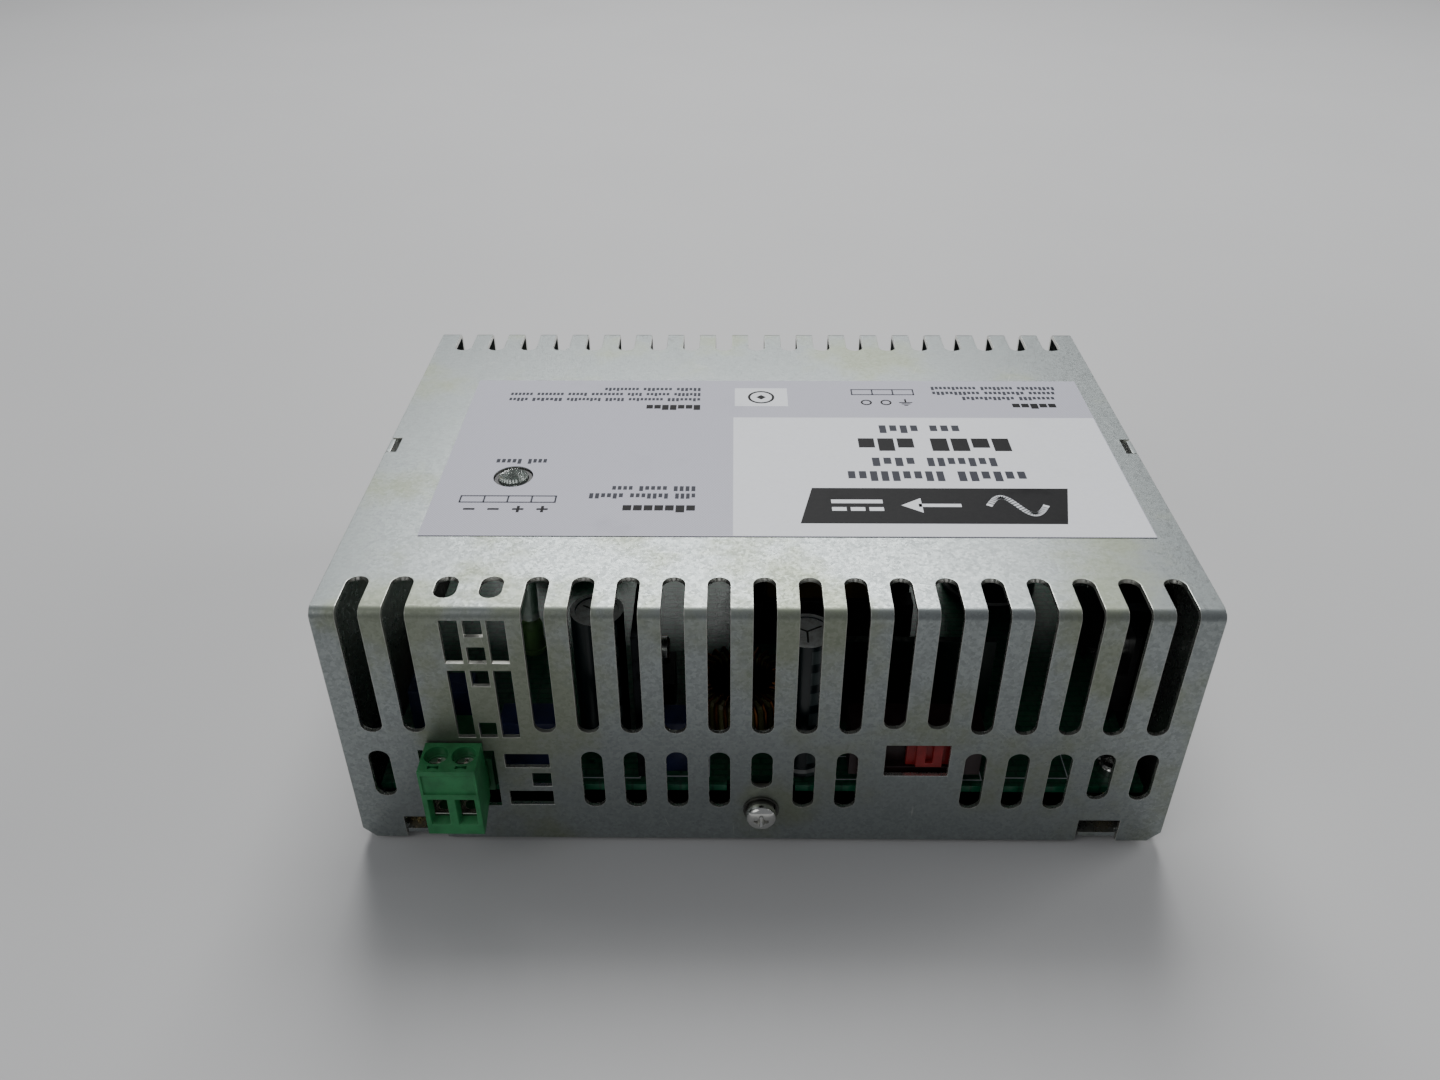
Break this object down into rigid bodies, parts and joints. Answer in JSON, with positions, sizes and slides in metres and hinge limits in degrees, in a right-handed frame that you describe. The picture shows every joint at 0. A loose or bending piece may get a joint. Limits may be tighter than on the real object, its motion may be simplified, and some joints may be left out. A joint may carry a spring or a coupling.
{
  "type": "din rail power supply",
  "caption": "Closed sheet-steel switching power supply with vented cover, pull-off terminal plugs, status light, voltage selector and a sprung rail clip under its floor.",
  "frame": {"origin": "centre of the rail under the case, on the outside face of the chassis floor", "axes": "+Z away from the rail through the labelled top, +X along the long side and the rail, +Y from the output side to the input side"},
  "size_m": [0.157, 0.1296, 0.0588],
  "materials": {
    "zinc_sheet": "zinc-plated, passivated, fine mottled grain, light stains",
    "clip_steel": "zinc-plated spring steel",
    "spring_wire": "oiled spring wire",
    "fastener_steel": "bright zinc-plated",
    "label_film": "satin polyester label",
    "clear_plastic": "clear moulded acrylic",
    "black_plastic": "moulded, matt",
    "led_lens": "diffused green lens",
    "insulation_film": "polyester film",
    "board_green": "green solder mask on glass epoxy",
    "brass": "nickel-plated brass",
    "connector_green": "moulded polyamide",
    "tinned_copper": "tinned",
    "clamp_steel": "zinc-plated",
    "dark_red_plastic": "moulded",
    "red_plastic": "moulded",
    "fuse_glass": "clear glass with nickel caps",
    "ferrite": "sintered ferrite",
    "copper_wire": "enamelled copper",
    "winding_tape": "yellow polyester tape",
    "yellow_case": "potted box",
    "blue_case": "lacquered",
    "thermistor_green": "lacquered disc",
    "navy_sleeve": "shrink sleeve, aluminium can",
    "teal_sleeve": "shrink sleeve, aluminium can",
    "olive_winding": "wound powder core",
    "film_box": "potted boxes",
    "heat_sink": "mill finish"
  },
  "bodies": {
    "case": {"chassis": "zinc_sheet", "cover": "zinc_sheet", "rail_hook_left": "clip_steel", "rail_hook_right": "clip_steel", "latch_guides": "clip_steel", "latch_spring": "spring_wire", "cover_screws": "fastener_steel", "cover_lock_washers": "fastener_steel", "cover_plain_washers": "fastener_steel", "clip_rivets": "fastener_steel", "board_screws": "fastener_steel", "semiconductor_screws": "fastener_steel", "rating_label": "label_film", "light_pipe": "clear_plastic", "light_pipe_ring": "black_plastic", "transformer_bobbin": "black_plastic", "bridge_rectifier": "black_plastic", "power_semiconductors": "black_plastic", "status_led": "led_lens", "insulation_sheet": "insulation_film", "circuit_board": "board_green", "control_board": "board_green", "board_standoffs": "brass", "fuse_clips": "brass", "output_header": "connector_green", "input_header": "connector_green", "output_header_pins": "tinned_copper", "input_header_pins": "tinned_copper", "selector_body": "dark_red_plastic", "fuse": "fuse_glass", "choke_core": "ferrite", "transformer_core": "ferrite", "choke_windings": "copper_wire", "transformer_winding": "winding_tape", "x_capacitor": "yellow_case", "y_capacitors": "blue_case", "inrush_thermistor": "thermistor_green", "bulk_capacitors": "navy_sleeve", "output_capacitors": "teal_sleeve", "output_inductor": "olive_winding", "film_capacitors": "film_box", "primary_heat_sink": "heat_sink", "secondary_heat_sink": "heat_sink"},
    "latch": {"rail_latch": "clip_steel"},
    "selector_knob": {"selector_slider": "red_plastic"},
    "output_plug": {"output_plug": "connector_green", "output_plug_contacts": "tinned_copper"},
    "input_plug": {"input_plug": "connector_green", "input_plug_contacts": "tinned_copper"},
    "output_screw_1": {"output_clamp_screw_1": "clamp_steel"},
    "output_cage_1": {"output_clamp_cage_1": "clamp_steel"},
    "output_screw_2": {"output_clamp_screw_2": "clamp_steel"},
    "output_cage_2": {"output_clamp_cage_2": "clamp_steel"},
    "input_screw_1": {"input_clamp_screw_1": "clamp_steel"},
    "input_cage_1": {"input_clamp_cage_1": "clamp_steel"},
    "input_screw_2": {"input_clamp_screw_2": "clamp_steel"},
    "input_cage_2": {"input_clamp_cage_2": "clamp_steel"},
    "input_screw_3": {"input_clamp_screw_3": "clamp_steel"},
    "input_cage_3": {"input_clamp_cage_3": "clamp_steel"}
  },
  "joints": [
    {"name": "latch_slide", "type": "slide", "parent": "case", "child": "latch", "axis": [0, 1, 0], "range_m": [0, 0.006], "stiffness_N_per_m": 1500, "springref_m": -0.004, "deforming": ["latch_spring"]},
    {"name": "selector_slide", "type": "slide", "parent": "case", "child": "selector_knob", "axis": [1, 0, 0], "range_m": [-0.005, 0]},
    {"name": "output_plug_pull", "type": "slide", "parent": "case", "child": "output_plug", "axis": [0, -1, 0], "range_m": [0, 0.012]},
    {"name": "input_plug_pull", "type": "slide", "parent": "case", "child": "input_plug", "axis": [0, 1, 0], "range_m": [0, 0.012]},
    {"name": "output_screw_1_turn", "type": "hinge", "parent": "output_plug", "child": "output_screw_1", "pos_m": [-0.05984, -0.0605, 0.02], "axis": [0, 0, 1], "range_deg": [-2000.1, 0]},
    {"name": "output_cage_1_lift", "type": "slide", "parent": "output_plug", "child": "output_cage_1", "axis": [0, 0, 1], "range_m": [0, 0.0025]},
    {"name": "output_screw_2_turn", "type": "hinge", "parent": "output_plug", "child": "output_screw_2", "pos_m": [-0.05476, -0.0605, 0.02], "axis": [0, 0, 1], "range_deg": [-2000.1, 0]},
    {"name": "output_cage_2_lift", "type": "slide", "parent": "output_plug", "child": "output_cage_2", "axis": [0, 0, 1], "range_m": [0, 0.0025]},
    {"name": "input_screw_1_turn", "type": "hinge", "parent": "input_plug", "child": "input_screw_1", "pos_m": [0.03308, 0.0605, 0.02], "axis": [0, 0, 1], "range_deg": [-2000.1, 0]},
    {"name": "input_cage_1_lift", "type": "slide", "parent": "input_plug", "child": "input_cage_1", "axis": [0, 0, 1], "range_m": [0, 0.0025]},
    {"name": "input_screw_2_turn", "type": "hinge", "parent": "input_plug", "child": "input_screw_2", "pos_m": [0.028, 0.0605, 0.02], "axis": [0, 0, 1], "range_deg": [-2000.1, 0]},
    {"name": "input_cage_2_lift", "type": "slide", "parent": "input_plug", "child": "input_cage_2", "axis": [0, 0, 1], "range_m": [0, 0.0025]},
    {"name": "input_screw_3_turn", "type": "hinge", "parent": "input_plug", "child": "input_screw_3", "pos_m": [0.02292, 0.0605, 0.02], "axis": [0, 0, 1], "range_deg": [-2000.1, 0]},
    {"name": "input_cage_3_lift", "type": "slide", "parent": "input_plug", "child": "input_cage_3", "axis": [0, 0, 1], "range_m": [0, 0.0025]}
  ],
  "couplings": [
    {"joint": "output_screw_1_turn", "follows": "output_cage_1_lift", "rad_per_m": -13963},
    {"joint": "output_screw_2_turn", "follows": "output_cage_2_lift", "rad_per_m": -13963},
    {"joint": "input_screw_1_turn", "follows": "input_cage_1_lift", "rad_per_m": -13963},
    {"joint": "input_screw_2_turn", "follows": "input_cage_2_lift", "rad_per_m": -13963},
    {"joint": "input_screw_3_turn", "follows": "input_cage_3_lift", "rad_per_m": -13963}
  ]
}
